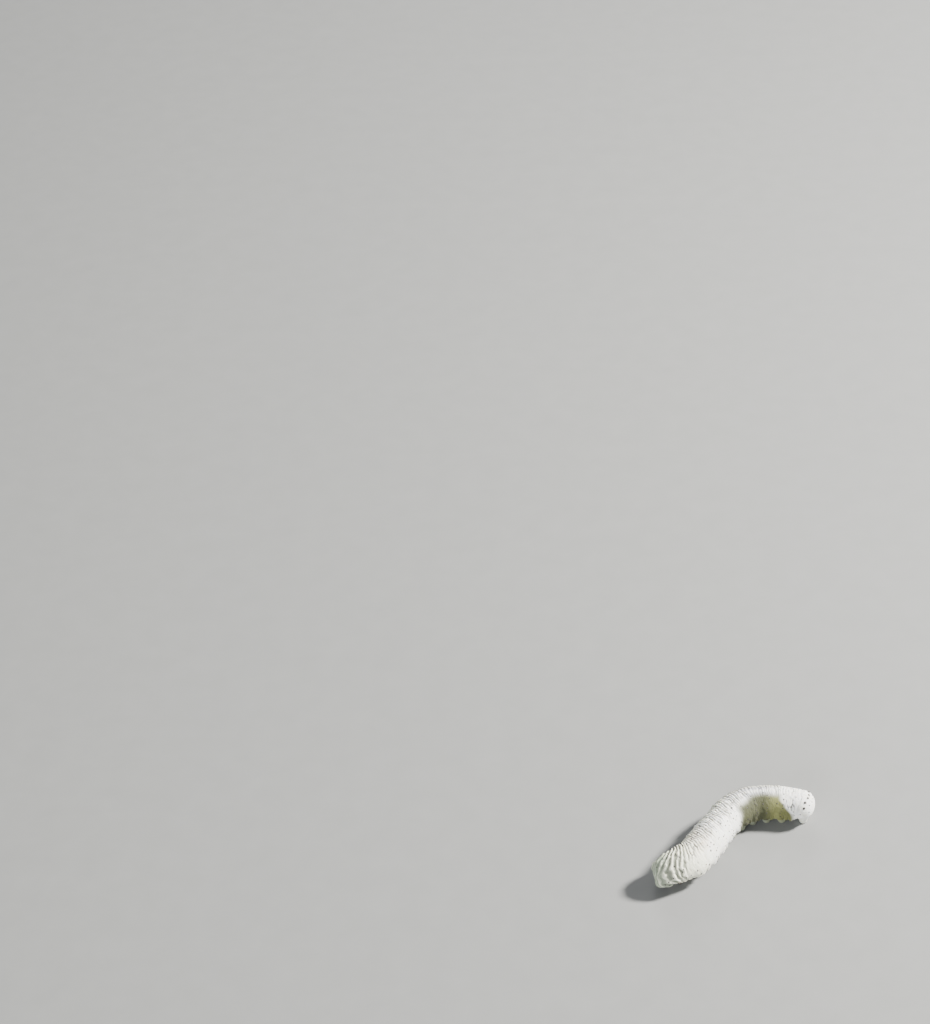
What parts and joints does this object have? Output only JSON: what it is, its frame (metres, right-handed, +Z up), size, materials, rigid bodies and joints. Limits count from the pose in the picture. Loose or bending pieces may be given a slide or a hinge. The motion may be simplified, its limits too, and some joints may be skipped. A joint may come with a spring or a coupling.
{
  "type": "sawfly larva",
  "caption": "Life-size sawfly larva model: a soft, ringed, waxy body in a loose bend, its small dark head tucked under the front, standing on short legs and prolegs.",
  "frame": {"origin": "middle of the model's box, on the floor under the feet", "axes": "+X along the model's longest side, from the head end towards the tail; +Y away from the viewer; +Z up from the floor"},
  "size_m": [0.016, 0.0128, 0.0041],
  "materials": {
    "skin": "soft skin under a matt grey-white wax bloom, with small dark dots",
    "proleg": "the same waxy skin, a little greyer",
    "leg": "dark horny leg plates and claws",
    "capsule": "glossy black head capsule",
    "claw": "dark brown horny mandibles",
    "eye": "polished black"
  },
  "bodies": {
    "root": {"head": "capsule", "eye_left": "eye", "eye_right": "eye", "antenna_left": "capsule", "antenna_right": "capsule", "mandible_left": "claw", "mandible_right": "claw", "prothorax": "skin", "mesothorax": "skin", "metathorax": "skin", "abdomen_1_2": "skin", "abdomen_3_4": "skin", "abdomen_5_6": "skin", "abdomen_7_8": "skin", "abdomen_9": "skin", "anal_segment": "skin", "leg_prothorax_left": "leg", "leg_prothorax_right": "leg", "leg_mesothorax_left": "leg", "leg_mesothorax_right": "leg", "leg_metathorax_left": "leg", "leg_metathorax_right": "leg", "proleg_2_left": "proleg", "proleg_2_right": "proleg", "proleg_3_left": "proleg", "proleg_3_right": "proleg", "proleg_4_left": "proleg", "proleg_4_right": "proleg", "proleg_5_left": "proleg", "proleg_5_right": "proleg", "proleg_6_left": "proleg", "proleg_6_right": "proleg", "proleg_7_left": "proleg", "proleg_7_right": "proleg", "proleg_8_left": "proleg", "proleg_8_right": "proleg", "anal_proleg_left": "proleg", "anal_proleg_right": "proleg"}
  },
  "joints": []
}
